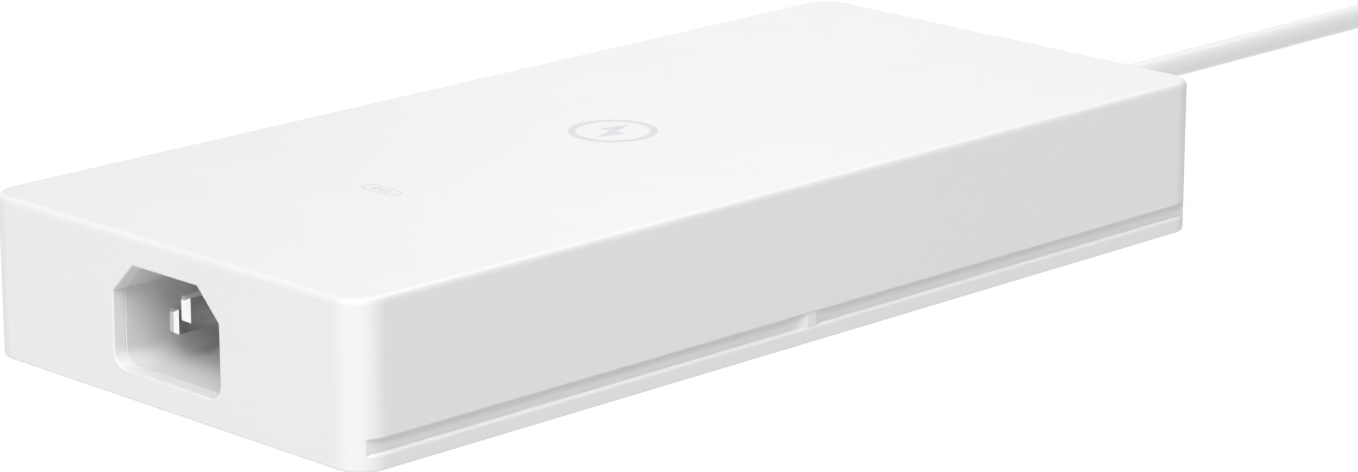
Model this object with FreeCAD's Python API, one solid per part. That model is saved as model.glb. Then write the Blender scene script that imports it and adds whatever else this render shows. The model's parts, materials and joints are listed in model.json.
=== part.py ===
"""A slim mains power injector: a white rectangular case with a mains inlet at one end and a captive output lead at
the other. All sizes are in millimetres.

Frame: the origin is the centre of the flat underside, +Z is up, the inlet end faces -X and the lead leaves along +X.
Each function below makes one piece or one family of pieces; main() writes every node to parts/NODE.step.
"""
import FreeCAD
import Part
import math
import os
from FreeCAD import Vector

# ---------------------------------------------------------------- driving dimensions
# Case, outside
case_length = 192.0
case_width = 88.0
case_height = 26.5
corner_radius = 5.2
top_edge_radius = 1.0
bottom_edge_radius = 0.4
fine_edge_radius = 0.25

# Case, inside
wall = 2.2
roof = 2.0
rim_wall = 1.2
cover_thickness = 2.0
cover_gap = 0.12
label_half_length = 60.0
label_half_width = 24.0
label_thickness = 0.15
label_recess = 0.35

# Bracket groove along each long side, with a detent half way
groove_bottom = 2.6
groove_top = 5.05
groove_depth = 0.95
lip_radius = 0.45
detent_flat = 1.9
detent_ramp = 3.3
detent_rise = 0.75

# Mains inlet, the appliance socket with three blades
inlet_width = 25.0
inlet_height = 16.85
inlet_chamfer = 4.9
inlet_corner = 2.5
inlet_z = 13.15
inlet_depth = 20.0
inlet_skin = 1.6
inlet_floor = 3.0
inlet_flange = 2.0
inlet_mouth_radius = 0.2
inlet_step = 0.12
inlet_seam = 0.1
blade_thickness = 2.0
blade_height = 4.0
blade_tip_thickness = 0.93
blade_tip_height = 3.3
blade_tip_length = 0.6
blade_middle_z = 13.5
blade_pitch = 7.0
blade_offset = 2.0
line_tip_depth = 6.9
earth_tip_depth = 3.6

# Output lead
lead_radius = 2.2
lead_z = 13.2
relief_length = 16.0
relief_neck = 4.8
relief_tip = 3.1
relief_collar = 2.35
sway_pivot = 125.0
droop_pivot = 150.0
link_gap = 0.1
plug_start = 210.0
plug_body = 24.0
plug_radius = 5.0
barrel_length = 9.5
barrel_radius = 2.75
barrel_root_radius = 3.2
barrel_root = 6.0
insulator_radius = 2.3
contact_outer_radius = 1.7
contact_radius = 1.25

# Circuit board and the space above it
board_low_x = -72.5
board_high_x = 82.0
board_half_width = 39.0
board_bottom = 5.0
board_thickness = 1.6
film_low_x = -72.4
film_high_x = 82.6
film_bottom = 22.2
film_thickness = 0.3
spreader_thickness = 1.0

# Fasteners
boss_x = 89.0
boss_y = 36.0
boss_radius = 3.4
cover_screw_radius = 1.2
post_x = (-68.0, 78.0)
post_y = 35.0
post_radius = 3.0
board_screw_radius = 0.9

# ---------------------------------------------------------------- values worked out from those
half_length = case_length / 2
half_width = case_width / 2
inner_length = half_length - wall
inner_width = half_width - wall
ceiling = case_height - roof
collar_x = inner_length - relief_collar
board_top = board_bottom + board_thickness
tail_radius = 0.4
tail_hole = 0.6
tail_bottom = board_bottom - 1.2
slack = 0.02
X = Vector(1, 0, 0)
Y = Vector(0, 1, 0)
Z = Vector(0, 0, 1)


# ---------------------------------------------------------------- small helpers
def block(low_x, high_x, low_y, high_y, low_z, high_z):
    size = (high_x - low_x, high_y - low_y, high_z - low_z)
    return Part.makeBox(*size, Vector(low_x, low_y, low_z))


def centred_block(centre, size):
    """A box of size (x, y, z) around a centre."""
    low = [c - s / 2 for c, s in zip(centre, size)]
    return Part.makeBox(*size, Vector(*low))


def rod(start, axis, radius, length):
    return Part.makeCylinder(radius, length, Vector(*start), axis)


def cone(start, axis, first_radius, last_radius, length):
    return Part.makeCone(first_radius, last_radius, length, Vector(*start), axis)


def join(*shapes):
    """One solid from pieces that touch or overlap."""
    return shapes[0].multiFuse(list(shapes[1:])).removeSplitter()


def group(shapes):
    """Several separate solids under one name."""
    return Part.makeCompound(list(shapes))


def rim_edges(shape, height):
    """The edges that lie wholly at one height."""
    near = 1e-4
    return [e for e in shape.Edges
            if abs(e.BoundBox.ZMin - height) < near and abs(e.BoundBox.ZMax - height) < near]


def upright_edges(shape):
    near = 1e-4
    return [e for e in shape.Edges
            if e.BoundBox.ZLength > near and e.BoundBox.XLength < near and e.BoundBox.YLength < near]


def rounded_slab(half_x, half_y, low_z, high_z, radius):
    """A slab centred on the Z axis with its four upright corners rounded."""
    slab = block(-half_x, half_x, -half_y, half_y, low_z, high_z)
    return slab.makeFillet(radius, upright_edges(slab))


def rounded_can(start, axis, radius, length, edge):
    """A capacitor can with its two rims rounded."""
    can = rod(start, axis, radius, length)
    rims = [e for e in can.Edges if e.Curve.TypeId == "Part::GeomCircle"]
    return can.makeFillet(edge, rims)


def softened(shape, radius):
    """The same shape with every edge rounded."""
    return shape.makeFillet(radius, shape.Edges)


def outline_edges(shape, x):
    """The edges of the inlet's outline in the plane at one x."""
    near = 1e-3
    reach = inlet_width / 2 + inlet_step + near
    return [e for e in shape.Edges
            if abs(e.BoundBox.XMin - x) < near and abs(e.BoundBox.XMax - x) < near
            and e.BoundBox.YMax < reach and e.BoundBox.YMin > -reach
            and e.BoundBox.ZMin > inlet_z - inlet_height / 2 - inlet_step - near]


def save(name, shape):
    shape.exportStep(os.path.join("parts", name + ".step"))


# ---------------------------------------------------------------- inlet outline
def inlet_prism(low_x, high_x, grow=0.0):
    """The socket's outline run along X: top corners cut off at about 45 degrees, bottom corners rounded."""
    side = inlet_width / 2 + grow
    top = inlet_z + inlet_height / 2 + grow
    bottom = inlet_z - inlet_height / 2 - grow
    cut = inlet_chamfer + grow * (2 - math.sqrt(2))
    corners = [
        (-side, bottom), (side, bottom), (side, top - cut),
        (side - cut, top), (-side + cut, top), (-side, top - cut),
    ]
    points = [Vector(low_x, y, z) for y, z in corners]
    prism = Part.Face(Part.makePolygon(points + points[:1])).extrude(X * (high_x - low_x))
    lower = [e for e in prism.Edges
             if e.BoundBox.XLength > 1e-3 and e.BoundBox.ZMax < bottom + 1e-3]
    return prism.makeFillet(inlet_corner + grow, lower)


# ---------------------------------------------------------------- case
def outer_body():
    """The case's outside: a plain block above the groove, a narrower waist behind it and a flange below it.
    The waist is full length, so the two end faces run down unbroken and the grooves die out in the corners."""
    upper = rounded_slab(half_length, half_width, groove_top, case_height, corner_radius)
    upper = upper.makeFillet(top_edge_radius, rim_edges(upper, case_height))
    upper = upper.makeFillet(fine_edge_radius, rim_edges(upper, groove_top))
    flange = rounded_slab(half_length, half_width, 0, groove_bottom, corner_radius)
    flange = flange.makeFillet(lip_radius, rim_edges(flange, groove_bottom))
    flange = flange.makeFillet(bottom_edge_radius, rim_edges(flange, 0))
    waist_low = groove_bottom / 2
    waist_high = groove_top + 2 * fine_edge_radius
    waist = rounded_slab(half_length, half_width, waist_low, waist_high, corner_radius)
    waist_width = half_width - groove_depth
    reach = half_length + 1
    waist = waist.common(block(-reach, reach, -waist_width, waist_width, waist_low, waist_high))
    return join(upper, flange, waist)


def detent(side):
    """A bump in the groove that a bracket's hook snaps over: a flat top between two hollow ramps."""
    floor_y = half_width - groove_depth
    crest_y = floor_y + detent_rise
    foot_x = detent_flat / 2 + detent_ramp
    crest_x = detent_flat / 2
    ramp_radius = (detent_ramp ** 2 + detent_rise ** 2) / (2 * detent_rise)
    half_turn = math.asin(detent_ramp / ramp_radius) / 2
    middle_x = foot_x - ramp_radius * math.sin(half_turn)
    middle_y = floor_y + ramp_radius * (1 - math.cos(half_turn))
    low_z = groove_bottom - lip_radius
    high_z = groove_top + 2 * fine_edge_radius
    inside_y = floor_y - groove_depth / 2

    def at(x, y):
        return Vector(x, side * y, low_z)

    edges = [
        Part.Arc(at(-foot_x, floor_y), at(-middle_x, middle_y), at(-crest_x, crest_y)).toShape(),
        Part.makeLine(at(-crest_x, crest_y), at(crest_x, crest_y)),
        Part.Arc(at(crest_x, crest_y), at(middle_x, middle_y), at(foot_x, floor_y)).toShape(),
        Part.makeLine(at(foot_x, floor_y), at(foot_x, inside_y)),
        Part.makeLine(at(foot_x, inside_y), at(-foot_x, inside_y)),
        Part.makeLine(at(-foot_x, inside_y), at(-foot_x, floor_y)),
    ]
    return Part.Face(Part.Wire(edges)).extrude(Z * (high_z - low_z))


def boss_places():
    return [(sx * boss_x, sy * boss_y) for sx in (-1, 1) for sy in (-1, 1)]


def screw_boss(x, y):
    """A post under the roof that takes a cover screw, tied to the long wall by a rib."""
    post = rod((x, y, cover_thickness), Z, boss_radius, ceiling - cover_thickness + roof / 2)
    rib_end = math.copysign(inner_width + wall / 4, y)
    low_y, high_y = sorted((y, rib_end))
    rib = block(x - 0.8, x + 0.8, low_y, high_y, cover_thickness + 2, ceiling + roof / 2)
    return join(post, rib)


def inlet_rails():
    """Two ribs inside the inlet end; the inlet's flange slides down between them and the wall."""
    rail_x = inlet_front() + inlet_flange
    inner_y = inlet_width / 2 + inlet_skin + 0.3
    rails = []
    for side in (-1, 1):
        low_y, high_y = sorted((side * inner_y, side * (inner_y + 3.5)))
        rails.append(block(rail_x, rail_x + 1.6, low_y, high_y, 4.0, ceiling + roof / 2))
        low_y, high_y = sorted((side * (inner_y + 2.4), side * (inner_y + 3.5)))
        rails.append(block(-inner_length - 0.5, rail_x + 1.6, low_y, high_y, 4.0, ceiling + roof / 2))
    return rails


def relief_rails():
    """Two ribs inside the lead end that trap the strain relief's collar."""
    rails = []
    for side in (-1, 1):
        low_y, high_y = sorted((side * 3.6, side * 9.6))
        rails.append(block(collar_x - 1.6, collar_x - 0.1, low_y, high_y, 5.0, ceiling + roof / 2))
        low_y, high_y = sorted((side * 8.2, side * 9.6))
        rails.append(block(collar_x - 1.6, inner_length + 0.5, low_y, high_y, 5.0, ceiling + roof / 2))
    return rails


def make_top_shell():
    body = join(outer_body(), detent(1), detent(-1))
    cavity = rounded_slab(inner_length, inner_width, -1, ceiling, corner_radius - wall)
    cavity = cavity.makeFillet(0.8, rim_edges(cavity, ceiling))
    pocket = rounded_slab(half_length - rim_wall, half_width - rim_wall, -1, cover_thickness,
                          corner_radius - rim_wall)
    shell = body.cut(cavity).cut(pocket)
    bosses = [screw_boss(x, y) for x, y in boss_places()]
    shell = join(shell, *bosses, *inlet_rails(), *relief_rails())
    window = inlet_prism(-half_length - 1, -inner_length + 0.01, inlet_step)
    lead_hole = rod((inner_length - 3, 0, lead_z), X, relief_neck + slack, wall + 4)
    pilots = [rod((x, y, cover_thickness - 0.5), Z, cover_screw_radius + slack, 12)
              for x, y in boss_places()]
    shell = shell.cut(window).cut(lead_hole).cut(group(pilots))
    return shell.makeFillet(fine_edge_radius, outline_edges(shell, -half_length))


def label_slab(grow, low_z, high_z):
    return rounded_slab(label_half_length + grow, label_half_width + grow, low_z, high_z, 2.0 + grow)


def make_rating_label():
    """The printed label, stuck in a shallow recess so that it doesn't rub."""
    return label_slab(0.0, label_recess - label_thickness, label_recess)


def make_base_cover():
    """The plate that closes the underside, flush with the shell's rim, with four posts for the board."""
    half_x = half_length - rim_wall - cover_gap
    half_y = half_width - rim_wall - cover_gap
    plate = rounded_slab(half_x, half_y, 0, cover_thickness, corner_radius - rim_wall - cover_gap)
    plate = plate.makeFillet(fine_edge_radius, rim_edges(plate, 0))
    posts = [rod((x, sy * post_y, cover_thickness / 2), Z, post_radius, board_bottom - cover_thickness / 2)
             for x in post_x for sy in (-1, 1)]
    cover = join(plate, *posts).cut(label_slab(0.2, -1, label_recess))
    for x, y in boss_places():
        cover = cover.cut(rod((x, y, -1), Z, cover_screw_radius + 0.2, cover_thickness + 2))
        cover = cover.cut(cone((x, y, -0.01), Z, 2.75, cover_screw_radius + 0.2, 1.45))
    for x in post_x:
        for side in (-1, 1):
            cover = cover.cut(rod((x, side * post_y, 1.2), Z, board_screw_radius + slack, board_bottom))
    return cover


def cross_recess(x, y, z, direction):
    """The cross that a screwdriver fits, to be cut into a screw head."""
    centre_z = z + direction * 0.35
    return join(centred_block((x, y, centre_z), (2.2, 0.55, 0.9)),
                centred_block((x, y, centre_z), (0.55, 2.2, 0.9)))


def make_base_screws():
    screws = []
    for x, y in boss_places():
        head = cone((x, y, 0.15), Z, 2.5, cover_screw_radius, 1.3)
        shank = rod((x, y, 0.15), Z, cover_screw_radius, 10)
        screws.append(join(head, shank).cut(cross_recess(x, y, 0.15, 1)))
    return group(screws)


# ---------------------------------------------------------------- mains inlet
def blade_section():
    return (blade_thickness, blade_height)


def blade_places():
    """Name, y, z and depth of the tip behind the end face, for each blade."""
    return {
        "line_blade": (blade_pitch, blade_middle_z - blade_offset, line_tip_depth),
        "neutral_blade": (-blade_pitch, blade_middle_z - blade_offset, line_tip_depth),
        "earth_blade": (0.0, blade_middle_z + blade_offset, earth_tip_depth),
    }


def blade_back():
    return -half_length + inlet_depth + inlet_floor + 3.5


def upright_rectangle(x, y, z, width, height):
    """A closed outline in the plane at one x, around a centre."""
    corners = [(-1, -1), (1, -1), (1, 1), (-1, 1), (-1, -1)]
    return Part.makePolygon([Vector(x, y + sy * width / 2, z + sz * height / 2) for sy, sz in corners])


def make_blade(y, z, tip_depth):
    """A flat contact with a bevelled tip, and a tail that turns down through the board."""
    tip_x = -half_length + tip_depth
    full_x = tip_x + blade_tip_length
    back_x = blade_back()
    thickness, height = blade_section()
    tip = Part.makeLoft([upright_rectangle(tip_x, y, z, blade_tip_thickness, blade_tip_height),
                         upright_rectangle(full_x, y, z, thickness, height)], True, True)
    bar = block(full_x, back_x, y - thickness / 2, y + thickness / 2, z - height / 2, z + height / 2)
    tail = block(back_x - 1.2, back_x, y - 0.8, y + 0.8, tail_bottom, z)
    return join(tip, bar, tail)


def inlet_front():
    """Where the inlet's flange starts: a hair's breadth behind the end wall, which shows as a fine seam."""
    return -inner_length + inlet_seam


def make_inlet_body():
    """The moulded cup behind the window, with a flange that sits in the shell's rails."""
    front = inlet_front()
    floor_x = -half_length + inlet_depth
    cup = inlet_prism(front, floor_x + inlet_floor, inlet_skin)
    side = inlet_width / 2 + inlet_skin + 2.2
    flange = block(front, front + inlet_flange, -side, side, 2.6, ceiling - 0.9)
    recess = inlet_prism(front - 1, floor_x)
    body = join(cup, flange).cut(recess)
    thickness, height = blade_section()
    for y, z, _ in blade_places().values():
        slot = block(floor_x - 1, floor_x + inlet_floor + 1, y - thickness / 2, y + thickness / 2,
                     z - height / 2, z + height / 2)
        body = body.cut(slot)
    return body.makeFillet(inlet_mouth_radius, outline_edges(body, front))


# ---------------------------------------------------------------- output lead, inside and out
def make_strain_relief():
    """A moulded boot: a collar inside the wall, a neck through it and a ribbed taper outside."""
    collar = rod((collar_x, 0, lead_z), X, 7.0, relief_collar)
    neck = rod((collar_x, 0, lead_z), X, relief_neck, half_length - collar_x + 1.0)
    taper = cone((half_length + 0.5, 0, lead_z), X, relief_neck, relief_tip, relief_length - 0.5)
    boot = join(collar, neck, taper)
    end_x = half_length + relief_length
    tip = [e for e in boot.Edges if e.BoundBox.XMin > end_x - 1e-3]
    boot = boot.makeFillet(0.5, tip)
    slot_pitch = 2.9
    for i in range(4):
        x = half_length + 3.2 + i * slot_pitch
        outer = rod((x, 0, lead_z), X, relief_neck + 1, 1.3)
        core = rod((x, 0, lead_z), X, lead_radius + 0.55, 1.3)
        ring = outer.cut(core)
        left = block(x, x + 1.3, -6, 6, lead_z - 0.7, lead_z + 0.7)
        upright = block(x, x + 1.3, -0.7, 0.7, lead_z - 6, lead_z + 6)
        boot = boot.cut(ring.cut(left if i % 2 else upright))
    return boot.cut(rod((90, 0, lead_z), X, lead_radius + slack, 40))


def make_lead_fixed_end():
    """The part of the lead that doesn't move: from inside the case, through the boot, to short of the first bend."""
    start_x = 86.0
    end_x = sway_pivot - lead_radius - link_gap
    jacket = rod((start_x, 0, lead_z), X, lead_radius, end_x - start_x)
    sides = (-1.0, 1.0)
    bores = [rod((start_x - 1, side, lead_z), X, 0.86, 7) for side in sides]
    return jacket.cut(group(bores))


def lead_link(pivot_x, end_x):
    """A length of lead with a ball at its hinge, so that it turns without touching its neighbour."""
    ball = Part.makeSphere(lead_radius, Vector(pivot_x, 0, lead_z))
    return join(ball, rod((pivot_x, 0, lead_z), X, lead_radius, end_x - pivot_x))


def make_output_wire(side, pad_x, pad_y):
    """One insulated conductor, from inside the jacket to its pad on the board."""
    radius = 0.84
    start = Vector(90.0, side, lead_z)
    out = Vector(85.0, side, lead_z)
    over = Vector(pad_x, pad_y, lead_z)
    pad = Vector(pad_x, pad_y, board_top)
    straight = Part.makeLine(start, out)
    curve = Part.BezierCurve()
    curve.setPoles([out, out - X * 5, over + X * 2, pad + Z * 4, pad])
    path = Part.Wire([straight, curve.toShape()])
    ring = Part.Wire(Part.makeCircle(radius, start, X))
    return path.makePipeShell([ring], True, False)


def make_plug_overmould():
    """The hand grip: a tapered tail, a body with grip rings and a shoulder at the barrel."""
    tail = cone((plug_start - 8, 0, lead_z), X, lead_radius + 0.9, plug_radius - 1.0, 8)
    body = rod((plug_start, 0, lead_z), X, plug_radius, plug_body)
    body = body.makeFillet(1.0, [e for e in body.Edges if e.Curve.TypeId == "Part::GeomCircle"])
    grip = join(tail, body)
    for i in range(5):
        x = plug_start + 5 + i * 2.6
        ring = rod((x, 0, lead_z), X, plug_radius + 1, 1.1).cut(
            rod((x, 0, lead_z), X, plug_radius - 0.5, 1.1))
        grip = grip.cut(ring)
    bore = rod((plug_start - 9, 0, lead_z), X, lead_radius + slack, 19)
    seat = rod((barrel_start() - 1, 0, lead_z), X, barrel_root_radius + slack, barrel_root + 2)
    return grip.cut(bore).cut(seat)


def barrel_tube(outer, inner, low_x, high_x):
    tube = rod((low_x, 0, lead_z), X, outer, high_x - low_x)
    return tube.cut(rod((low_x - 1, 0, lead_z), X, inner, high_x - low_x + 2))


def barrel_start():
    return plug_start + plug_body - barrel_root


def barrel_end():
    return plug_start + plug_body + barrel_length


def make_plug_sleeve():
    """The outer contact, with a thicker root held in the overmould."""
    root = barrel_tube(barrel_root_radius, insulator_radius, barrel_start(), barrel_start() + barrel_root)
    return join(root, barrel_tube(barrel_radius, insulator_radius, barrel_start() + barrel_root, barrel_end()))


def make_plug_insulator():
    return barrel_tube(insulator_radius - slack, contact_outer_radius, barrel_start(), barrel_end() - 0.3)


def make_plug_contact():
    return barrel_tube(contact_outer_radius - slack, contact_radius, barrel_start(), barrel_end() - 0.6)


# ---------------------------------------------------------------- where things sit on the board
fuse_place = (-61.0, -20.0)
varistor_place = (-53.0, -18.0)
thermistor_place = (-47.0, -18.0)
input_capacitor_place = (-59.0, 14.0)
filter_capacitor_place = (-17.0, 16.0)
input_choke_place = (-38.5, 16.0)
filter_choke_place = (-29.0, -18.0)
line_capacitor_places = [(-52.0 + 10 * i, 35.0) for i in range(3)]
bridge_place = (-8.0, -18.0)
inductor_place = (5.0, 16.0)
bulk_capacitor_rows = (-17.2, -31.6)
bulk_capacitor_low_x = 0.0
transformer_place = (38.5, 17.0)
primary_sink_y = -3.0
primary_switch_places = (9.0, 23.0)
output_sink_x = 59.0
output_rectifier_places = (11.0, 24.0)
output_choke_place = (48.0, -20.0)
output_capacitor_places = [(x, y) for x in (66.0, 76.5) for y in (-9.0, -21.0)]
card_place = (68.0, 24.0)
opto_places = [(38.0, -5.0), (46.0, -5.0)]
chip_places = [(-18.0, 34.0), (2.0, 35.0), (-40.0, -36.0), (50.0, 36.5)]
output_pad_places = [(75.0, 5.0), (75.0, 11.0)]
disc_lead_pitch = 5.0
bulk_radius = 7.0
bulk_length = 34.0
inductor_size = (26.0, 26.0, 14.6)
inductor_window = 16.0
transformer_size = (33.0, 32.0, 15.0)
transformer_window = 21.0
bobbin_reach = transformer_window / 2 - 0.2
bobbin_flange = 1.0
bobbin_pin_reach = bobbin_reach - bobbin_flange / 2


def pair(x, y, across_x=0.0, across_y=0.0):
    """Two lead places either side of a centre."""
    return [(x - across_x / 2, y - across_y / 2), (x + across_x / 2, y + across_y / 2)]


def tail_places():
    """Every place where a component's lead passes through the board, by component."""
    places = {
        "fuse": pair(*fuse_place, across_y=22.4),
        "varistor": pair(*varistor_place, across_y=disc_lead_pitch),
        "thermistor": pair(*thermistor_place, across_y=disc_lead_pitch),
        "input_capacitor": pair(*input_capacitor_place, across_y=15.0),
        "filter_capacitor": pair(*filter_capacitor_place, across_y=15.0),
        "line_capacitors": [p for x, y in line_capacitor_places for p in pair(x, y, across_x=disc_lead_pitch)],
        "bridge": [(bridge_place[0], bridge_place[1] + step) for step in (-7.5, -2.5, 2.5, 7.5)],
        "bulk": [p for y in bulk_capacitor_rows for p in pair(bulk_capacitor_low_x - 1.4, y, across_y=7.5)],
        "primary": [(x + step, primary_sink_y - 3.3) for x in primary_switch_places for step in (-2.5, 0, 2.5)],
        "output": [(output_sink_x + 3.3, y + step) for y in output_rectifier_places for step in (-2.5, 0, 2.5)],
        "output_capacitors": [p for x, y in output_capacitor_places for p in pair(x, y, across_x=4.0)],
        "transformer": [(transformer_place[0] + end * bobbin_pin_reach, transformer_place[1] + step)
                        for end in (-1, 1) for step in (-8, -4, 0, 4, 8)],
    }
    return places


def tails(component, top_z):
    return [rod((x, y, tail_bottom), Z, tail_radius, top_z - tail_bottom) for x, y in tail_places()[component]]


# ---------------------------------------------------------------- board and fasteners
def make_main_board():
    board = block(board_low_x, board_high_x, -board_half_width, board_half_width, board_bottom, board_top)
    board = board.makeFillet(2.0, upright_edges(board))
    through = [rod((x, y, board_bottom - 1), Z, tail_hole, board_thickness + 2)
               for places in tail_places().values() for x, y in places]
    through += [rod((x, side * post_y, board_bottom - 1), Z, board_screw_radius + 0.3, board_thickness + 2)
                for x in post_x for side in (-1, 1)]
    back = blade_back()
    through += [block(back - 1.4, back + 0.2, y - 1, y + 1, board_bottom - 1, board_top + 1)
                for y, _, _ in blade_places().values()]
    return board.cut(group(through))


def make_board_screws():
    screws = []
    for x in post_x:
        for side in (-1, 1):
            y = side * post_y
            head = rod((x, y, board_top), Z, 2.3, 1.6)
            head = head.makeFillet(0.6, rim_edges(head, board_top + 1.6))
            shank = rod((x, y, board_top - 5.2), Z, board_screw_radius, 5.2)
            screws.append(join(head, shank).cut(cross_recess(x, y, board_top + 1.6, -1)))
    return group(screws)


# ---------------------------------------------------------------- input parts
def make_fuse_tube():
    x, y = fuse_place
    tube = rod((x, y - 10, board_top + 3.4), Y, 2.4, 20)
    return tube


def make_fuse_caps():
    """Two end caps, each with its wire bent down into the board."""
    x, y = fuse_place
    axis_z = board_top + 3.4
    caps = []
    for side, (tail_x, tail_y) in zip((-1, 1), tail_places()["fuse"]):
        start_y = y + side * 10 if side > 0 else y - 11.6
        cap = rod((x, start_y, axis_z), Y, 2.7, 1.6)
        wire = rod((tail_x, tail_y, tail_bottom), Z, tail_radius, axis_z - tail_bottom)
        caps.append(join(cap, wire))
    return group(caps)


def make_disc(component, x, y, radius, thickness, axis):
    """A disc component standing on its two leads."""
    base_z = board_top + 0.8
    start = (x - thickness / 2, y, base_z + radius) if axis == X else (x, y - thickness / 2, base_z + radius)
    disc = rounded_can(start, axis, radius, thickness, 1.0)
    near = [p for p in tail_places()[component] if abs(p[0] - x) < radius and abs(p[1] - y) < radius]
    wires = [rod((px, py, tail_bottom), Z, tail_radius, base_z + radius / 2 - tail_bottom) for px, py in near]
    return join(disc, *wires)


def make_line_capacitors():
    return group(make_disc("line_capacitors", x, y, 3.6, 3.4, Y) for x, y in line_capacitor_places)


def make_box_capacitor(component, place):
    """A film capacitor in a moulded box."""
    x, y = place
    case = centred_block((x, y, board_top + 7.3), (10.0, 22.0, 14.6))
    case = case.makeFillet(0.8, [e for e in case.Edges if e.BoundBox.ZMax > board_top + 1])
    return join(case, *tails(component, board_top + 1))


def ring_core(place, ring_radius, section_radius, base_z):
    x, y = place
    return Part.makeTorus(ring_radius, section_radius, Vector(x, y, base_z), Z)


def ring_turns(place, ring_radius, turn_radius, wire_radius, base_z, first_angle, last_angle, count):
    """Turns of wire around a ring core, between two angles in degrees."""
    x, y = place
    turns = []
    for i in range(count):
        angle = math.radians(first_angle + (last_angle - first_angle) * i / (count - 1))
        centre = Vector(x + ring_radius * math.cos(angle), y + ring_radius * math.sin(angle), base_z)
        along = Vector(-math.sin(angle), math.cos(angle), 0)
        turns.append(Part.makeTorus(turn_radius, wire_radius, centre, along))
    return turns


choke_ring = 10.0
choke_section = 3.0
choke_turn = 3.8
choke_wire = 0.6
choke_turn_count = 9
choke_base = board_top + 0.4 + choke_turn + choke_wire
output_ring = 7.0
output_section = 2.2
output_turn = 2.8
output_wire = 0.5
output_turn_count = 12
output_base = board_top + 0.4 + output_turn + output_wire


def make_choke_core(place):
    return ring_core(place, choke_ring, choke_section, choke_base)


def make_choke_windings(place):
    """Two windings on opposite halves of the ring."""
    halves = ((20, 160), (200, 340))
    return group(turn for first, last in halves
                 for turn in ring_turns(place, choke_ring, choke_turn, choke_wire, choke_base, first, last,
                                   choke_turn_count))


def make_output_choke_core():
    return ring_core(output_choke_place, output_ring, output_section, output_base)


def make_output_choke_winding():
    return group(ring_turns(output_choke_place, output_ring, output_turn, output_wire, output_base, 0, 320,
                            output_turn_count))


# ---------------------------------------------------------------- power parts
def make_bridge_rectifier():
    x, y = bridge_place
    body = centred_block((x, y, board_top + 8.2), (3.5, 22.0, 14.0))
    body = body.makeChamfer(0.5, upright_edges(body))
    return join(body, *tails("bridge", board_top + 2))


def sink_plate(low_x, high_x, low_y, high_y):
    """An aluminium plate on edge, standing just clear of the board."""
    return softened(block(low_x, high_x, low_y, high_y, board_top, 21.0), 0.3)


def make_rectifier_heatsink():
    x, y = bridge_place
    return sink_plate(x + 1.77, x + 3.77, y - 13, y + 13)


def make_primary_heatsink():
    return sink_plate(0, 34, primary_sink_y - 1, primary_sink_y + 1).cut(group(primary_screw_holes(slack)))


def make_output_heatsink():
    return sink_plate(output_sink_x - 1, output_sink_x + 1, 3, 32).cut(group(output_screw_holes(slack)))


def make_primary_switches():
    switches = []
    for x in primary_switch_places:
        body = centred_block((x, primary_sink_y - 3.2, board_top + 8.6), (10.0, 4.2, 11.0))
        wires = [w for w in tails("primary", board_top + 4) if abs(w.BoundBox.Center.x - x) < 5]
        switches.append(join(body.makeFillet(0.4, upright_edges(body)), *wires))
    return group(s.cut(group(primary_screw_holes(slack))) for s in switches)


def make_output_rectifiers():
    switches = []
    for y in output_rectifier_places:
        body = centred_block((output_sink_x + 3.2, y, board_top + 8.6), (4.2, 10.0, 11.0))
        wires = [w for w in tails("output", board_top + 4) if abs(w.BoundBox.Center.y - y) < 5]
        switches.append(join(body.makeFillet(0.4, upright_edges(body)), *wires))
    return group(s.cut(group(output_screw_holes(slack))) for s in switches)


switch_screw_z = board_top + 11.6
switch_screw_radius = 1.4


def primary_screw_holes(grow):
    """The holes for the switches' screws, along Y through each body and its heatsink."""
    return [rod((x, primary_sink_y - 6, switch_screw_z), Y, switch_screw_radius + grow, 9)
            for x in primary_switch_places]


def output_screw_holes(grow):
    return [rod((output_sink_x - 3, y, switch_screw_z), X, switch_screw_radius + grow, 9)
            for y in output_rectifier_places]


def make_switch_screws():
    """One screw through each switch and rectifier into its heatsink."""
    screws = []
    for x in primary_switch_places:
        face_y = primary_sink_y - 5.3
        screws.append(join(rod((x, face_y - 1.6, switch_screw_z), Y, 2.6, 1.6),
                           rod((x, face_y, switch_screw_z), Y, switch_screw_radius, 6.6)))
    for y in output_rectifier_places:
        face_x = output_sink_x + 5.3
        screws.append(join(rod((face_x, y, switch_screw_z), X, 2.6, 1.6),
                           rod((face_x - 6.6, y, switch_screw_z), X, switch_screw_radius, 6.6)))
    return group(screws)


def framed_core(place, size, window_x, leg_y, leg_z, outer_leg):
    """A closed ferrite core: a frame with two windows and a lower centre leg along X."""
    x, y = place
    length, width, height = size
    centre_z = board_top + height / 2
    frame = centred_block((x, y, centre_z), size)
    opening = centred_block((x, y, centre_z), (window_x, width - 2 * outer_leg, height + 2))
    leg = centred_block((x, y, centre_z), (window_x + 2, leg_y, leg_z))
    core = join(frame.cut(opening), leg)
    return core.makeFillet(0.5, [e for e in core.Edges
                                 if e.BoundBox.ZLength > height - 1e-3 and e.BoundBox.XLength < 1e-3
                                 and abs(e.BoundBox.Center.x - x) > length / 2 - 1e-3])


def leg_tube(place, height, low_x, high_x, inner_y, inner_z, outer_y, outer_z, round_edge):
    """A rounded tube around a core's centre leg."""
    x, y = place
    centre_z = board_top + height / 2
    length = high_x - low_x
    centre = (x + (low_x + high_x) / 2, y, centre_z)
    outside = centred_block(centre, (length, outer_y, outer_z))
    along = [e for e in outside.Edges if e.BoundBox.XLength > length - 1e-3]
    outside = outside.makeFillet(round_edge, along)
    return outside.cut(centred_block(centre, (length + 2, inner_y, inner_z)))


def make_inductor_core():
    return framed_core(inductor_place, inductor_size, inductor_window, 9.0, 8.4, 3.4)


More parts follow.
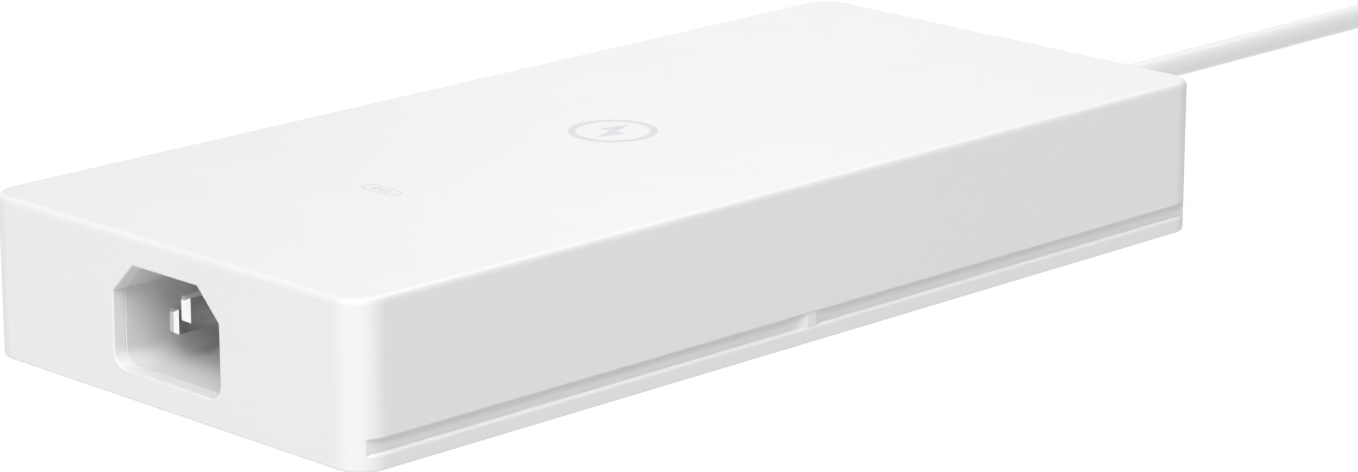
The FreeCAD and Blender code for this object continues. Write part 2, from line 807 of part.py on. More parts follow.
def make_inductor_winding():
    """Turns of flat copper wound on the centre leg, with a small gap between turns."""
    turn_count = 8
    pitch = (inductor_window - 0.6) / turn_count
    start = -inductor_window / 2 + 0.3
    return group(leg_tube(inductor_place, inductor_size[2], start + i * pitch, start + i * pitch + pitch * 0.8,
                          9.4, 8.8, 18.0, 14.0, 2.0) for i in range(turn_count))


def make_transformer_core():
    return framed_core(transformer_place, transformer_size, transformer_window, 11.0, 7.4, 4.0)


def make_transformer_bobbin():
    """A thin tube on the centre leg with a flange at each end and a row of pins under each flange."""
    height = transformer_size[2]
    tube = leg_tube(transformer_place, height, -bobbin_reach, bobbin_reach, 11.2, 7.6, 12.8, 9.2, 0.6)
    flanges = [leg_tube(transformer_place, height, low, low + bobbin_flange, 11.2, 7.6, 23.4, 14.6, 1.5)
               for low in (-bobbin_reach, bobbin_reach - bobbin_flange)]
    return join(tube, *flanges, *tails("transformer", board_top + 1))


def make_transformer_windings():
    """Two taped windings side by side on the bobbin."""
    height = transformer_size[2]
    reach = bobbin_reach - bobbin_flange - 0.2
    spans = ((-reach, -0.2), (0.2, reach))
    return group(leg_tube(transformer_place, height, low, high, 12.9, 9.3, 22.4, 14.2, 3.0)
                 for low, high in spans)


def make_bulk_capacitors():
    """Two cans lying along the board, each with its two wires bent down at the seal."""
    cans = []
    centre_z = board_top + 0.2 + bulk_radius
    for y in bulk_capacitor_rows:
        can = rounded_can((bulk_capacitor_low_x, y, centre_z), X, bulk_radius, bulk_length, 0.9)
        wires = [w for w in tails("bulk", centre_z) if abs(w.BoundBox.Center.y - y) < 6]
        reach = [rod((bulk_capacitor_low_x - 1.8, y + step, centre_z - 0.4), X, tail_radius, 2.6)
                 for step in (-3.75, 3.75)]
        cans.append(join(can, *wires, *reach))
    return group(cans)


def make_output_capacitors():
    cans = []
    for x, y in output_capacitor_places:
        can = rounded_can((x, y, board_top + 0.3), Z, 4.9, 14.2, 0.7)
        wires = [rod((px, py, tail_bottom), Z, tail_radius, board_top + 1 - tail_bottom)
                 for px, py in pair(x, y, across_x=4.0)]
        cans.append(join(can, *wires))
    return group(cans)


# ---------------------------------------------------------------- control parts
def small_outline_chip(x, y, z, size, leg_count):
    """A flat chip with gull legs along its two long sides."""
    length, width, height = size
    body = centred_block((x, y, z + 0.15 + height / 2), size)
    pitch = length / leg_count
    legs = []
    for i in range(leg_count):
        leg_x = x - length / 2 + pitch * (i + 0.5)
        foot = centred_block((leg_x, y, z + 0.1), (pitch * 0.4, width + 2.0, 0.2))
        legs.append(foot)
    return join(body, *legs)


def make_controller_chips():
    return group(small_outline_chip(x, y, board_top, (6.0, 4.0, 1.5), 5) for x, y in chip_places)


def make_optocouplers():
    return group(small_outline_chip(x, y, board_top, (4.6, 5.4, 3.4), 2) for x, y in opto_places)


def make_control_card():
    """A small board on edge, plugged into the main board."""
    x, y = card_place
    return centred_block((x, y, board_top + 6.6), (1.2, 14.0, 13.2))


def make_control_card_chips():
    x, y = card_place
    chips = [centred_block((x + 1.35, y + step, board_top + 7), (1.5, 4.4, 5.0)) for step in (-3.6, 3.6)]
    return group(chips)


# ---------------------------------------------------------------- insulation and heat
def film_slab(low_z):
    """A sheet of film over the whole board."""
    middle_x = (film_low_x + film_high_x) / 2
    sheet = rounded_slab((film_high_x - film_low_x) / 2, 39.6, low_z, low_z + film_thickness, 2.0)
    return sheet.translated(X * middle_x)


def make_insulation_film():
    return film_slab(film_bottom)


def make_base_insulator():
    """A film over the base cover, holed for the board posts."""
    film = film_slab(cover_thickness + 0.1)
    holes = [rod((x, side * post_y, cover_thickness - 1), Z, post_radius + 0.3, 4)
             for x in post_x for side in (-1, 1)]
    return film.cut(group(holes))


def make_heat_spreader():
    """An aluminium tray over the parts, with a skirt down each long side."""
    low_z = film_bottom + film_thickness + 0.05
    high_z = low_z + spreader_thickness
    skirt_outer = inner_width - 0.5
    low_x, high_x = film_low_x, board_high_x
    tray = block(low_x, high_x, -skirt_outer, skirt_outer, 8.0, high_z)
    inside = block(low_x - 1, high_x + 1, -skirt_outer + spreader_thickness, skirt_outer - spreader_thickness,
                   7.0, low_z)
    tray = tray.cut(inside)
    bends = [e for e in tray.Edges if e.BoundBox.XLength > 100 and e.BoundBox.ZMin > high_z - 1e-3]
    return tray.makeFillet(0.6, bends)


def make_thermal_pads():
    """Soft pads that carry heat from the tall parts up to the film."""
    x, y = transformer_place
    pads = [centred_block((x, y, (board_top + 15.0 + film_bottom) / 2), (30, 28, film_bottom - board_top - 15.0))]
    x, y = inductor_place
    top = board_top + inductor_size[2]
    pads.append(centred_block((x, y, (top + film_bottom) / 2), (24, 24, film_bottom - top)))
    return group(pads)


# ---------------------------------------------------------------- everything
def all_nodes():
    nodes = {
        "top_shell": make_top_shell(),
        "base_cover": make_base_cover(),
        "base_screws": make_base_screws(),
        "rating_label": make_rating_label(),
        "inlet_body": make_inlet_body(),
        "strain_relief": make_strain_relief(),
        "lead_fixed_end": make_lead_fixed_end(),
        "output_wire_positive": make_output_wire(1.0, *output_pad_places[1]),
        "output_wire_negative": make_output_wire(-1.0, *output_pad_places[0]),
        "lead_first_link": lead_link(sway_pivot, droop_pivot - lead_radius - link_gap),
        "lead_second_link": lead_link(droop_pivot, plug_start + 9),
        "plug_overmould": make_plug_overmould(),
        "plug_sleeve": make_plug_sleeve(),
        "plug_insulator": make_plug_insulator(),
        "plug_contact": make_plug_contact(),
        "main_board": make_main_board(),
        "board_screws": make_board_screws(),
        "fuse_tube": make_fuse_tube(),
        "fuse_caps": make_fuse_caps(),
        "varistor": make_disc("varistor", *varistor_place, 6.4, 4.2, X),
        "thermistor": make_disc("thermistor", *thermistor_place, 5.4, 4.4, X),
        "input_capacitor": make_box_capacitor("input_capacitor", input_capacitor_place),
        "filter_capacitor": make_box_capacitor("filter_capacitor", filter_capacitor_place),
        "line_capacitors": make_line_capacitors(),
        "input_choke_core": make_choke_core(input_choke_place),
        "input_choke_windings": make_choke_windings(input_choke_place),
        "filter_choke_core": make_choke_core(filter_choke_place),
        "filter_choke_windings": make_choke_windings(filter_choke_place),
        "bridge_rectifier": make_bridge_rectifier(),
        "rectifier_heatsink": make_rectifier_heatsink(),
        "boost_inductor_core": make_inductor_core(),
        "boost_inductor_winding": make_inductor_winding(),
        "bulk_capacitors": make_bulk_capacitors(),
        "primary_heatsink": make_primary_heatsink(),
        "primary_switches": make_primary_switches(),
        "transformer_core": make_transformer_core(),
        "transformer_bobbin": make_transformer_bobbin(),
        "transformer_windings": make_transformer_windings(),
        "output_heatsink": make_output_heatsink(),
        "switch_screws": make_switch_screws(),
        "output_rectifiers": make_output_rectifiers(),
        "output_choke_core": make_output_choke_core(),
        "output_choke_winding": make_output_choke_winding(),
        "output_capacitors": make_output_capacitors(),
        "controller_chips": make_controller_chips(),
        "optocouplers": make_optocouplers(),
        "control_card": make_control_card(),
        "control_card_chips": make_control_card_chips(),
        "thermal_pads": make_thermal_pads(),
        "insulation_film": make_insulation_film(),
        "base_insulator": make_base_insulator(),
        "heat_spreader": make_heat_spreader(),
    }
    for name, (y, z, tip_depth) in blade_places().items():
        nodes[name] = make_blade(y, z, tip_depth)
    return nodes


def main():
    os.makedirs("parts", exist_ok=True)
    for name, shape in all_nodes().items():
        save(name, shape)


main()
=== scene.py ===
"""Looks of the mains power injector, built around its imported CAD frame.

The CAD nodes stay where they are and get their materials here. The flexible lead, its boot, the plug's grip
and the printed marks are built here, because they bend, or are softer or thinner than the CAD solids.
Everything is in metres in the frame's own axes. +Z is up, the lead leaves along +X and the inlet faces -X.
"""
import bpy
import json
import math
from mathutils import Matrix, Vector


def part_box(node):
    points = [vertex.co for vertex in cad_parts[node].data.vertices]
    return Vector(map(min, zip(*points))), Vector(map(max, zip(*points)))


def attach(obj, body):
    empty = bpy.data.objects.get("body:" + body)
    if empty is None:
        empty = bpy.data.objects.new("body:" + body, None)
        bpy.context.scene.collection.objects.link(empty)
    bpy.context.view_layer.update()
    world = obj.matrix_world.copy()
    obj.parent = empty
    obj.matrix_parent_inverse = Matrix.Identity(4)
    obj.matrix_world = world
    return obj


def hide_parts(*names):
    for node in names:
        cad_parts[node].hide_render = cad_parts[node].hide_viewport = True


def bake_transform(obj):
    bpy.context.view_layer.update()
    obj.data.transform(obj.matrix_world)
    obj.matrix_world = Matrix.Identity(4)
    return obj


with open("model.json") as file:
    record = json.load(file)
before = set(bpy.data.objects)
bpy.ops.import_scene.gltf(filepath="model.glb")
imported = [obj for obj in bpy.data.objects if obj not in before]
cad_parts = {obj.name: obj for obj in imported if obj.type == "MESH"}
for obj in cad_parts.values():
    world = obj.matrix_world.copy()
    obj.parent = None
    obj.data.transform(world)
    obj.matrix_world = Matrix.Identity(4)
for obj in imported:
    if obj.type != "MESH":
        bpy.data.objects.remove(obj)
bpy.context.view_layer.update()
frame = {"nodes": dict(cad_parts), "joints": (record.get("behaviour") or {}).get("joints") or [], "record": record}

MM = 0.001
JOINTS = {joint["name"]: Vector(joint["pos_m"]) for joint in frame["joints"]}
SLOT_OF = {part["node"]: part["material_slot"] for part in frame["record"]["subparts"]}


# ---------------------------------------------------------------- node helpers
def new_material(name):
    material = bpy.data.materials.new(name)
    material.use_nodes = True
    return material


def add(material, kind, **inputs):
    """A new node of one kind, with its input values set by name (spaces written as underscores)."""
    node = material.node_tree.nodes.new(kind)
    for key, value in inputs.items():
        node.inputs[key.replace("_", " ")].default_value = value
    return node


def link(material, output, target):
    material.node_tree.links.new(output, target)


def shader_of(material):
    return material.node_tree.nodes["Principled BSDF"]


def place_scaled(material, stretch=(1.0, 1.0, 1.0)):
    """Position on the object in metres, stretched along each axis."""
    position = add(material, "ShaderNodeTexCoord")
    mapping = add(material, "ShaderNodeMapping", Scale=stretch)
    link(material, position.outputs["Object"], mapping.inputs["Vector"])
    return mapping.outputs["Vector"]


def noise(material, size, detail=3.0, stretch=(1.0, 1.0, 1.0)):
    """Soft noise whose features are about `size` metres across."""
    node = add(material, "ShaderNodeTexNoise", Scale=1.0 / size, Detail=detail)
    link(material, place_scaled(material, stretch), node.inputs["Vector"])
    return node.outputs["Fac"]


def tint(material, factor, first, second):
    """A colour between two colours, by a factor."""
    ramp = add(material, "ShaderNodeValToRGB")
    ramp.color_ramp.elements[0].position = 0.3
    ramp.color_ramp.elements[0].color = (*first, 1.0)
    ramp.color_ramp.elements[1].position = 0.7
    ramp.color_ramp.elements[1].color = (*second, 1.0)
    link(material, factor, ramp.inputs["Fac"])
    return ramp.outputs["Color"]


def shade(colour, amount):
    return tuple(min(1.0, channel * amount) for channel in colour)


def paint(material, colour, spread, patch_size):
    """Base colour that drifts by a share either side of the colour, in soft patches."""
    factor = noise(material, patch_size)
    mixed = tint(material, factor, shade(colour, 1 - spread), shade(colour, 1 + spread))
    link(material, mixed, shader_of(material).inputs["Base Color"])


def roughen(material, low, high, patch_size, stretch=(1.0, 1.0, 1.0)):
    """Roughness that wanders between two values."""
    spread = add(material, "ShaderNodeMapRange", To_Min=low, To_Max=high)
    link(material, noise(material, patch_size, 4.0, stretch), spread.inputs["Value"])
    link(material, spread.outputs["Result"], shader_of(material).inputs["Roughness"])


def emboss(material, height, depth, strength=1.0):
    """Bump from a height signal; depth is the height of the relief in metres."""
    bump = add(material, "ShaderNodeBump", Strength=strength, Distance=depth)
    link(material, height, bump.inputs["Height"])
    link(material, bump.outputs["Normal"], shader_of(material).inputs["Normal"])


# ---------------------------------------------------------------- materials
def moulded_plastic(name, colour, roughness=0.42):
    """Injection-moulded plastic: even colour, a very fine spark-eroded grain and a soft sheen."""
    material = new_material(name)
    paint(material, colour, 0.006, 24 * MM)
    roughen(material, roughness - 0.04, roughness + 0.04, 9 * MM)
    emboss(material, noise(material, 0.28 * MM, 2.0), 0.004 * MM)
    shader = shader_of(material)
    shader.inputs["IOR"].default_value = 1.5
    shader.inputs["Specular IOR Level"].default_value = 0.45
    return material


def soft_vinyl(name, colour, roughness=0.5):
    """Soft PVC: faint lengthwise drawing marks over a fine grain."""
    material = new_material(name)
    paint(material, colour, 0.01, 12 * MM)
    roughen(material, roughness - 0.05, roughness + 0.07, 3 * MM, (0.25, 1.0, 1.0))
    emboss(material, noise(material, 0.35 * MM, 3.0, (0.15, 1.0, 1.0)), 0.006 * MM)
    return material


def plated_metal(name, colour, roughness):
    """Bright plating with fine polishing lines and slightly duller patches."""
    material = new_material(name)
    paint(material, colour, 0.03, 2 * MM)
    roughen(material, roughness, roughness + 0.14, 0.8 * MM, (0.2, 1.0, 1.0))
    emboss(material, noise(material, 0.12 * MM, 2.0, (0.05, 1.0, 1.0)), 0.0015 * MM)
    shader_of(material).inputs["Metallic"].default_value = 1.0
    return material


def sheet_metal(name, colour):
    """Rolled sheet: long rolling lines along X."""
    material = new_material(name)
    paint(material, colour, 0.04, 8 * MM)
    roughen(material, 0.32, 0.47, 1.5 * MM, (0.05, 1.0, 1.0))
    emboss(material, noise(material, 0.3 * MM, 3.0, (0.03, 1.0, 1.0)), 0.004 * MM)
    shader_of(material).inputs["Metallic"].default_value = 1.0
    return material


def glossy_coat(name, colour):
    """Dipped or shrunk coating: slightly uneven and shiny."""
    material = new_material(name)
    paint(material, colour, 0.08, 4 * MM)
    roughen(material, 0.16, 0.3, 3 * MM)
    emboss(material, noise(material, 2.2 * MM, 2.0), 0.05 * MM, 0.6)
    shader_of(material).inputs["Coat Weight"].default_value = 0.4
    return material


def sintered(name, colour):
    """Ferrite, powder core or fired ceramic: dull, with fine pits."""
    material = new_material(name)
    paint(material, colour, 0.18, 1.5 * MM)
    roughen(material, 0.55, 0.8, 2 * MM)
    emboss(material, noise(material, 0.25 * MM, 6.0), 0.02 * MM)
    return material


def enamelled_wire(name, colour):
    """Lacquered copper wire."""
    material = new_material(name)
    paint(material, colour, 0.12, 2.5 * MM)
    roughen(material, 0.18, 0.34, 1.2 * MM)
    emboss(material, noise(material, 0.4 * MM, 2.0), 0.01 * MM)
    shader = shader_of(material)
    shader.inputs["Metallic"].default_value = 0.9
    shader.inputs["Coat Weight"].default_value = 0.5
    return material


def board_laminate(name, colour):
    """Glass-epoxy board under solder mask: woven glass relief and paler copper areas beneath the mask."""
    material = new_material(name)
    cells = add(material, "ShaderNodeTexVoronoi", Scale=1 / (6 * MM))
    cells.feature = "DISTANCE_TO_EDGE"
    link(material, place_scaled(material), cells.inputs["Vector"])
    tracks = add(material, "ShaderNodeMapRange", From_Min=0.04, From_Max=0.06)
    link(material, cells.outputs["Distance"], tracks.inputs["Value"])
    mixed = tint(material, tracks.outputs["Result"], shade(colour, 0.8), shade(colour, 1.35))
    link(material, mixed, shader_of(material).inputs["Base Color"])
    roughen(material, 0.25, 0.38, 5 * MM)
    weave = add(material, "ShaderNodeTexWave", Scale=1 / (1.1 * MM), Distortion=0.6)
    link(material, place_scaled(material), weave.inputs["Vector"])
    emboss(material, weave.outputs["Fac"], 0.01 * MM, 0.5)
    return material


def wound_tape(name, colour):
    """Layers of thin tape, with their edges showing as fine lines."""
    material = new_material(name)
    paint(material, colour, 0.06, 5 * MM)
    roughen(material, 0.28, 0.45, 3 * MM)
    edges = add(material, "ShaderNodeTexWave", Scale=1 / (3 * MM), Distortion=1.5)
    link(material, place_scaled(material), edges.inputs["Vector"])
    emboss(material, edges.outputs["Fac"], 0.03 * MM, 0.6)
    return material


def plastic_film(name, colour):
    """Thin film with long soft waves."""
    material = new_material(name)
    paint(material, colour, 0.1, 15 * MM)
    roughen(material, 0.3, 0.5, 8 * MM)
    emboss(material, noise(material, 14 * MM, 2.0, (0.4, 1.0, 1.0)), 0.2 * MM, 0.5)
    return material


def silicone_pad(name, colour):
    """Filled silicone rubber: dull and slightly lumpy."""
    material = new_material(name)
    paint(material, colour, 0.08, 3 * MM)
    roughen(material, 0.7, 0.85, 2 * MM)
    emboss(material, noise(material, 0.5 * MM, 5.0), 0.04 * MM)
    return material


def printed_label(name, colour):
    """A coated polyester label: nearly smooth, with a satin surface."""
    material = new_material(name)
    paint(material, colour, 0.02, 18 * MM)
    roughen(material, 0.45, 0.6, 6 * MM)
    emboss(material, noise(material, 0.6 * MM, 4.0), 0.004 * MM)
    return material


def printed_ink(name, colour):
    """Pad-printed ink: thin, dull, with the slight mottle of the pad."""
    material = new_material(name)
    paint(material, colour, 0.012, 1.2 * MM)
    roughen(material, 0.48, 0.6, 2 * MM)
    emboss(material, noise(material, 0.2 * MM, 3.0), 0.002 * MM)
    return material


WHITE = (0.86, 0.872, 0.868)


def slot_materials():
    """One material for each material slot of the record."""
    return {
        "case_plastic": moulded_plastic("case_plastic", WHITE),
        "base_plastic": moulded_plastic("base_plastic", shade(WHITE, 0.98), 0.5),
        "inlet_plastic": moulded_plastic("inlet_plastic", (0.76, 0.765, 0.762), 0.4),
        "label": printed_label("label", (0.72, 0.73, 0.74)),
        "blade_nickel": plated_metal("blade_nickel", (0.92, 0.915, 0.905), 0.1),
        "screw_steel": plated_metal("screw_steel", (0.55, 0.55, 0.57), 0.28),
        "relief_rubber": soft_vinyl("relief_rubber", shade(WHITE, 0.97)),
        "lead_jacket": soft_vinyl("lead_jacket", shade(WHITE, 0.99), 0.45),
        "wire_red": soft_vinyl("wire_red", (0.55, 0.05, 0.04)),
        "wire_black": soft_vinyl("wire_black", (0.03, 0.03, 0.03)),
        "plug_rubber": soft_vinyl("plug_rubber", shade(WHITE, 0.97)),
        "plug_nickel": plated_metal("plug_nickel", (0.78, 0.77, 0.74), 0.14),
        "plug_insulator": moulded_plastic("plug_insulator", (0.05, 0.05, 0.05)),
        "board_laminate": board_laminate("board_laminate", (0.05, 0.22, 0.10)),
        "fuse_glass": sintered("fuse_glass", (0.75, 0.72, 0.64)),
        "disc_blue": glossy_coat("disc_blue", (0.05, 0.16, 0.48)),
        "disc_green": glossy_coat("disc_green", (0.12, 0.26, 0.12)),
        "capacitor_box": moulded_plastic("capacitor_box", (0.70, 0.56, 0.16)),
        "capacitor_sleeve": glossy_coat("capacitor_sleeve", (0.06, 0.06, 0.08)),
        "ferrite": sintered("ferrite", (0.06, 0.06, 0.065)),
        "ring_core": sintered("ring_core", (0.12, 0.22, 0.14)),
        "copper": enamelled_wire("copper", (0.62, 0.26, 0.10)),
        "bobbin": moulded_plastic("bobbin", (0.10, 0.10, 0.11), 0.55),
        "winding_tape": wound_tape("winding_tape", (0.72, 0.60, 0.12)),
        "semiconductor": moulded_plastic("semiconductor", (0.03, 0.03, 0.03), 0.6),
        "sheet_aluminium": sheet_metal("sheet_aluminium", (0.70, 0.71, 0.72)),
        "insulation": plastic_film("insulation", (0.10, 0.10, 0.11)),
        "thermal_pad": silicone_pad("thermal_pad", (0.35, 0.42, 0.50)),
    }


# ---------------------------------------------------------------- mesh helpers
def mesh_object(name, vertices, faces, material, smooth=True):
    mesh = bpy.data.meshes.new(name)
    mesh.from_pydata([tuple(v) for v in vertices], [], faces)
    mesh.validate()
    mesh.update()
    if smooth:
        mesh.shade_smooth()
    mesh.materials.append(material)
    thing = bpy.data.objects.new(name, mesh)
    bpy.context.scene.collection.objects.link(thing)
    return thing


def turned(name, stations, radius_at, centre, material, segments):
    """A closed solid around a line along X, with flat ends and a ring at radius_at(x, angle) at each x."""
    vertices, faces = [], []
    angles = [2 * math.pi * i / segments for i in range(segments)]
    for x in stations:
        for angle in angles:
            radius = radius_at(x, angle)
            vertices.append((x, centre.y + radius * math.cos(angle), centre.z + radius * math.sin(angle)))
    for ring in range(len(stations) - 1):
        for i in range(segments):
            j = (i + 1) % segments
            low, high = ring * segments, (ring + 1) * segments
            faces.append((low + i, low + j, high + j, high + i))
    last = (len(stations) - 1) * segments
    faces.append(tuple(reversed(range(segments))))
    faces.append(tuple(last + i for i in range(segments)))
    thing = mesh_object(name, vertices, faces, material)
    for face in thing.data.polygons[-2:]:
        face.use_smooth = False
    return thing


def steps(first, last, count):
    return [first + (last - first) * i / (count - 1) for i in range(count)]


def smooth_step(low, high, value):
    share = min(1.0, max(0.0, (value - low) / (high - low)))
    return share * share * (3 - 2 * share)


def rounded_end(distance, radius):
    """How far a surface drops at this distance from its end, if the end's edge has this radius."""
    if distance >= radius:
        return 0.0
    return radius - math.sqrt(max(0.0, radius * radius - (radius - distance) ** 2))


# ---------------------------------------------------------------- the lead
def lead_centre():
    low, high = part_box("lead_first_link")
    return (low + high) / 2


def lead_radius():
    low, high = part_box("lead_first_link")
    return (high.z - low.z) / 2


def build_lead(materials):
    """The lead in two pieces that tuck into each other between the hinges."""
    centre, radius = lead_centre(), lead_radius()
    sway, lift = JOINTS["lead_sway"].x, JOINTS["lead_lift"].x
    meeting = (sway + lift) / 2
    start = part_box("lead_fixed_end")[0].x
    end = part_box("lead_second_link")[1].x
    tuck, shrink, waviness, segments = 1.5 * MM, 0.05, 0.002, 64

    def jacket(x, angle):
        return radius * (1 + waviness * math.sin(3 * angle + 90 * x))

    def near_jacket(x, angle):
        return jacket(x, angle) * (1 - shrink * smooth_step(meeting, meeting + tuck, x))

    def far_jacket(x, angle):
        return jacket(x, angle) * (1 - shrink + shrink * smooth_step(meeting - tuck, meeting, x))

    def piece(name, stations, radius_at, nodes):
        thing = turned(name, stations, radius_at, centre, materials["lead_jacket"], segments)
        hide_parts(*nodes)
        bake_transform(thing)

    piece("lead_near_case", steps(start, meeting + tuck, 120), near_jacket,
          ["lead_fixed_end"])
    piece("lead_near_plug", steps(meeting - tuck, end, 240), far_jacket,
          ["lead_first_link", "lead_second_link"])


def rigid_part(thing, node, body):
    """A built piece that stands for one CAD node and rides on one body."""
    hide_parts(node)
    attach(thing, body)


def build_boot(materials):
    """The strain relief: a neck in the wall, then a taper with staggered windows cut half round it."""
    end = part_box("strain_relief")[1].x
    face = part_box("top_shell")[1].x
    depth_in_wall = 2.0 * MM
    neck_radius, tip_radius, tip_rounding = 4.8 * MM, 3.1 * MM, 0.8 * MM
    pitch, width, first, count = 2.9 * MM, 1.3 * MM, face + 3.2 * MM, 4
    window_floor = lead_radius() + 0.57 * MM

    def taper(x):
        share = max(0.0, (x - face) / (end - face))
        radius = neck_radius + (tip_radius - neck_radius) * smooth_step(0.0, 1.0, share)
        return radius - rounded_end(end - x, tip_rounding)

    def window(x, angle):
        """How open the windows are here, from 0 to 1."""
        for i in range(count):
            middle = first + i * pitch + width / 2
            across = 1 - smooth_step(0.36, 0.52, abs(x - middle) / width)
            quarter_turn = math.pi / 2 if i % 2 else 0.0
            around = smooth_step(0.16, 0.30, abs(math.sin(angle + quarter_turn)))
            if across > 0:
                return across * around
        return 0.0

    def skin(x, angle):
        outside = taper(x)
        return outside - max(0.0, outside - window_floor) * window(x, angle)

    boot = turned("strain_relief_boot", steps(face - depth_in_wall, end, 260), skin, lead_centre(),
                  materials["relief_rubber"], 128)
    rigid_part(boot, "strain_relief", "case")


def build_grip(materials):
    """The plug's grip: a slim tail that flares into a body with finger rings and two pressed sides."""
    low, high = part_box("plug_overmould")
    body_radius, tail_radius = 5.0 * MM, lead_radius() + 0.9 * MM
    tail_length, flare = 8 * MM, 3.2 * MM
    body_rounding, tail_rounding = 1.1 * MM, 0.7 * MM
    ring_depth, ring_first, ring_pitch, ring_count = 0.45 * MM, low.x + 13.5 * MM, 2.6 * MM, 5
    press_depth, press_run = 0.45 * MM, 4 * MM

    def body(x):
        grown = smooth_step(low.x + tail_length - flare, low.x + tail_length + flare, x)
        drop = rounded_end(high.x - x, body_rounding) + rounded_end(x - low.x, tail_rounding)
        return tail_radius + (body_radius - tail_radius) * grown - drop

    def rings(x):
        """How deep the finger rings are here, from 0 to 1."""
        depth = 0.0
        for i in range(ring_count):
            distance = abs(x - ring_first - i * ring_pitch) / ring_pitch
            depth = max(depth, 1 - smooth_step(0.18, 0.42, distance))
        return depth

    def skin(x, angle):
        pressed = press_depth * math.cos(angle) ** 8 * smooth_step(0.0, press_run, x - low.x - tail_length)
        return body(x) - ring_depth * rings(x) - pressed

    grip = turned("plug_grip", steps(low.x, high.x, 300), skin, lead_centre(),
                  materials["plug_rubber"], 128)
    rigid_part(grip, "plug_overmould", "lead_second")


# ---------------------------------------------------------------- printed marks
INK_THICKNESS = 0.015 * MM


def plate(name, loops, place, material):
    """A thin printed shape on the top face: one outer loop and any holes, as points around a place."""
    curve = bpy.data.curves.new(name, "CURVE")
    curve.dimensions = "2D"
    curve.fill_mode = "BOTH"
    curve.extrude = INK_THICKNESS / 2
    for loop in loops:
        spline = curve.splines.new("POLY")
        spline.points.add(len(loop) - 1)
        for point, (x, y) in zip(spline.points, loop):
            point.co = (place[0] + x, place[1] + y, 0.0, 1.0)
        spline.use_cyclic_u = True
    source = bpy.data.objects.new(name + "_outline", curve)
    bpy.context.scene.collection.objects.link(source)
    bpy.context.view_layer.update()
    mesh = bpy.data.meshes.new_from_object(source.evaluated_get(bpy.context.evaluated_depsgraph_get()))
    bpy.data.objects.remove(source)
    mesh.materials.clear()
    mesh.materials.append(material)
    mark = bpy.data.objects.new(name, mesh)
    mark.location.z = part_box("top_shell")[1].z + INK_THICKNESS / 2
    bpy.context.scene.collection.objects.link(mark)
    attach(mark, "case")


def circle(radius, count=96):
    angles = [2 * math.pi * i / count for i in range(count)]
    return [(radius * math.cos(angle), radius * math.sin(angle)) for angle in angles]


def capsule(half_x, half_y, count=24):
    """A stadium outline, long along Y."""
    points = []
    for end in (1, -1):
        for i in range(count + 1):
            angle = math.pi * i / count + (0 if end > 0 else math.pi)
            points.append((half_x * math.cos(angle), end * (half_y - half_x) + half_x * math.sin(angle)))
    return points


def bar(x, y, half_x, half_y):
    signs = ((-1, -1), (1, -1), (1, 1), (-1, 1))
    return [(x + sign_x * half_x, y + sign_y * half_y) for sign_x, sign_y in signs]


def build_power_sign():
    """A plain ring with a bolt inside, in the middle of the top."""
    ink = printed_ink("mark_ink", (0.70, 0.71, 0.745))
    place = (-0.1 * MM, 1.4 * MM)
    outer_radius, line_width = 7.4 * MM, 1.2 * MM
    half_bolt = [(4.6 * MM, 1.1 * MM), (-0.6 * MM, 2.7 * MM), (0.1 * MM, 0.6 * MM)]
    bolt = half_bolt + [(-x, -y) for x, y in half_bolt]
    plate("power_sign_ring", [circle(outer_radius), circle(outer_radius - line_width)], place, ink)
    plate("power_sign_bolt", [bolt], place, ink)


def build_current_sign():
    """A small capsule near the inlet, with the usual sign for direct current: a line over three dashes."""
    ink = printed_ink("capsule_ink", (0.60, 0.61, 0.615))
    place = (-51.6 * MM, 0.4 * MM)
    half_x, half_y, line_width = 1.5 * MM, 4.0 * MM, 0.15 * MM
    stroke, dash_pitch = 0.12 * MM, 1.6 * MM
    outline = [capsule(half_x, half_y), capsule(half_x - line_width, half_y - line_width)]
    plate("capsule_outline", outline, place, ink)
    plate("capsule_line", [bar(0.35 * MM, 0, stroke, 2.2 * MM)], place, ink)
    for i in (-1, 0, 1):
        plate("capsule_dash_%d" % (i + 2), [bar(-0.4 * MM, i * dash_pitch, stroke, 0.6 * MM)], place, ink)


# ---------------------------------------------------------------- studio
def by_ray(material, ray_kind, value, other_value):
    """A value for rays of one kind, such as "Is Camera Ray", and another value for the rest."""
    path = add(material, "ShaderNodeLightPath")
    choice = add(material, "ShaderNodeMapRange", To_Min=other_value, To_Max=value)
    link(material, path.outputs[ray_kind], choice.inputs["Value"])
    return choice.outputs["Result"]


def build_floor():
    """A wide pale floor that is itself the fill light from below.

    The camera and reflections see it nearly white, with the object's soft shadow only just showing.
    Matt surfaces get less light from it.
    """
    reach, gap_below_object = 12.0, 0.02 * MM
    glow_on_matt, glow_seen, share_seen = 0.89, 1.02, 0.93
    material = new_material("floor_paper")
    paint(material, (0.88, 0.88, 0.88), 0.004, 0.4)
    roughen(material, 0.85, 0.95, 0.1)
    glow = add(material, "ShaderNodeEmission")
    link(material, by_ray(material, "Is Diffuse Ray", glow_on_matt, glow_seen), glow.inputs["Strength"])
    blend = add(material, "ShaderNodeMixShader")
    link(material, by_ray(material, "Is Camera Ray", share_seen, 1.0), blend.inputs["Fac"])
    link(material, shader_of(material).outputs["BSDF"], blend.inputs[1])
    link(material, glow.outputs["Emission"], blend.inputs[2])
    link(material, blend.outputs["Shader"], material.node_tree.nodes["Material Output"].inputs["Surface"])
    material.cycles.emission_sampling = "NONE"
    corners = [(x, y, 0) for x, y in bar(0, 0, reach, reach)]
    floor = mesh_object("floor", corners, [(0, 1, 2, 3)], material, smooth=False)
    floor.location.z = -gap_below_object


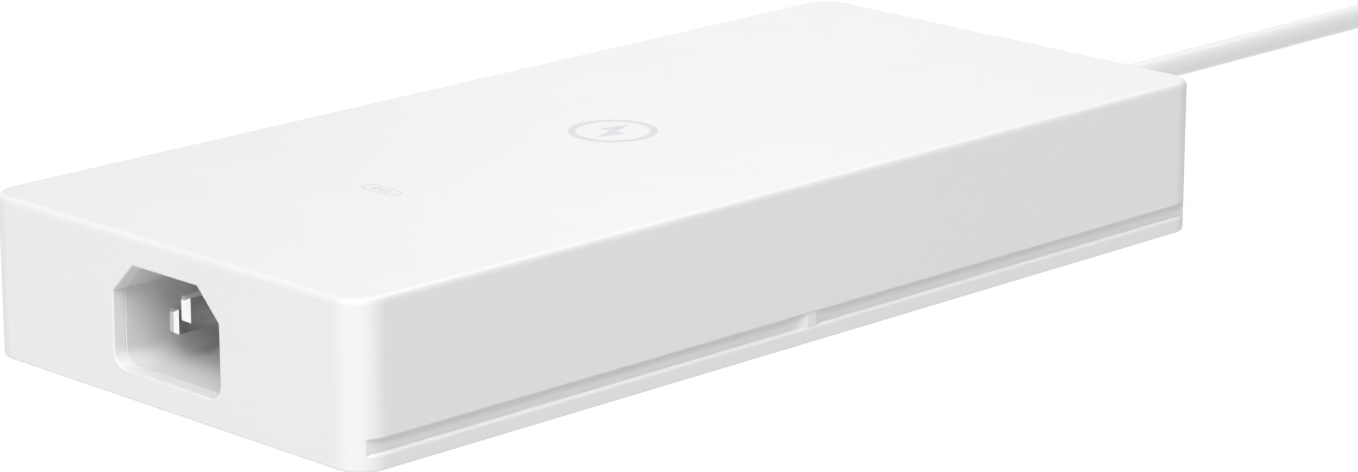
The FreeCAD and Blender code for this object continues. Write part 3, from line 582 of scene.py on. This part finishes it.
def build_world():
    """White where the camera looks past the floor, and dark for everything else."""
    world = bpy.data.worlds.new("studio")
    world.use_nodes = True
    tree = world.node_tree
    seen = tree.nodes["Background"]
    seen.inputs["Color"].default_value = (1, 1, 1, 1)
    path = tree.nodes.new("ShaderNodeLightPath")
    tree.links.new(path.outputs["Is Camera Ray"], seen.inputs["Strength"])
    bpy.context.scene.world = world


def direction(azimuth, elevation):
    """From the object towards a viewer or a light; azimuth 0 is the -Y side, and it grows towards +X."""
    a, e = math.radians(azimuth), math.radians(elevation)
    return Vector((math.sin(a) * math.cos(e), -math.cos(a) * math.cos(e), math.sin(e)))


def soft_light(name, azimuth, elevation, radiance):
    """A square softbox that faces the object. Its power follows from its own brightness and its size."""
    distance, size = 3.0, 2.0
    data = bpy.data.lights.new(name, "AREA")
    data.shape = "SQUARE"
    data.size = size
    data.energy = radiance * math.pi * size * size
    light = bpy.data.objects.new(name, data)
    towards = direction(azimuth, elevation)
    light.location = towards * distance
    light.rotation_euler = towards.to_track_quat("Z", "Y").to_euler()
    light.visible_camera = False
    bpy.context.scene.collection.objects.link(light)


def build_lights():
    """Broad light from above the inlet end, less from the near side, and fills from behind."""
    soft_light("overhead", -60, 50, 6.60)
    soft_light("near_side", -30, 50, 1.18)
    soft_light("behind_high", 120, 50, 2.54)
    soft_light("behind_low", 120, 15, 0.68)
    soft_light("behind_side", 150, 15, 0.25)
    soft_light("far_side", 180, 15, 1.08)


def build_camera():
    """A long lens, looking at the inlet end and the near long side from a little above."""
    azimuth, elevation, distance = -44.96, 15.73, 0.7975
    aim = Vector((7.9, -5.5, 8.35)) * MM
    data = bpy.data.cameras.new("camera")
    data.sensor_width = 36.0
    data.lens = 127.77
    data.shift_x = 0.0015
    data.clip_start = 0.01
    data.clip_end = 50.0
    camera = bpy.data.objects.new("camera", data)
    towards = direction(azimuth, elevation)
    camera.location = aim + towards * distance
    camera.rotation_euler = towards.to_track_quat("Z", "Y").to_euler()
    bpy.context.scene.collection.objects.link(camera)
    bpy.context.scene.camera = camera


def set_colours():
    """Plain display colours, with no film curve."""
    view = bpy.context.scene.view_settings
    view.view_transform = "Standard"
    view.look = "None"
    view.exposure = 0.0
    view.gamma = 1.0


# ---------------------------------------------------------------- assembly
def dress_frame(materials):
    """Give every CAD node its slot's material."""
    for name, node in frame["nodes"].items():
        node.data.materials.clear()
        node.data.materials.append(materials[SLOT_OF[name]])


def main():
    materials = slot_materials()
    dress_frame(materials)
    build_lead(materials)
    build_boot(materials)
    build_grip(materials)
    build_power_sign()
    build_current_sign()
    build_floor()
    build_world()
    build_lights()
    build_camera()
    set_colours()


main()
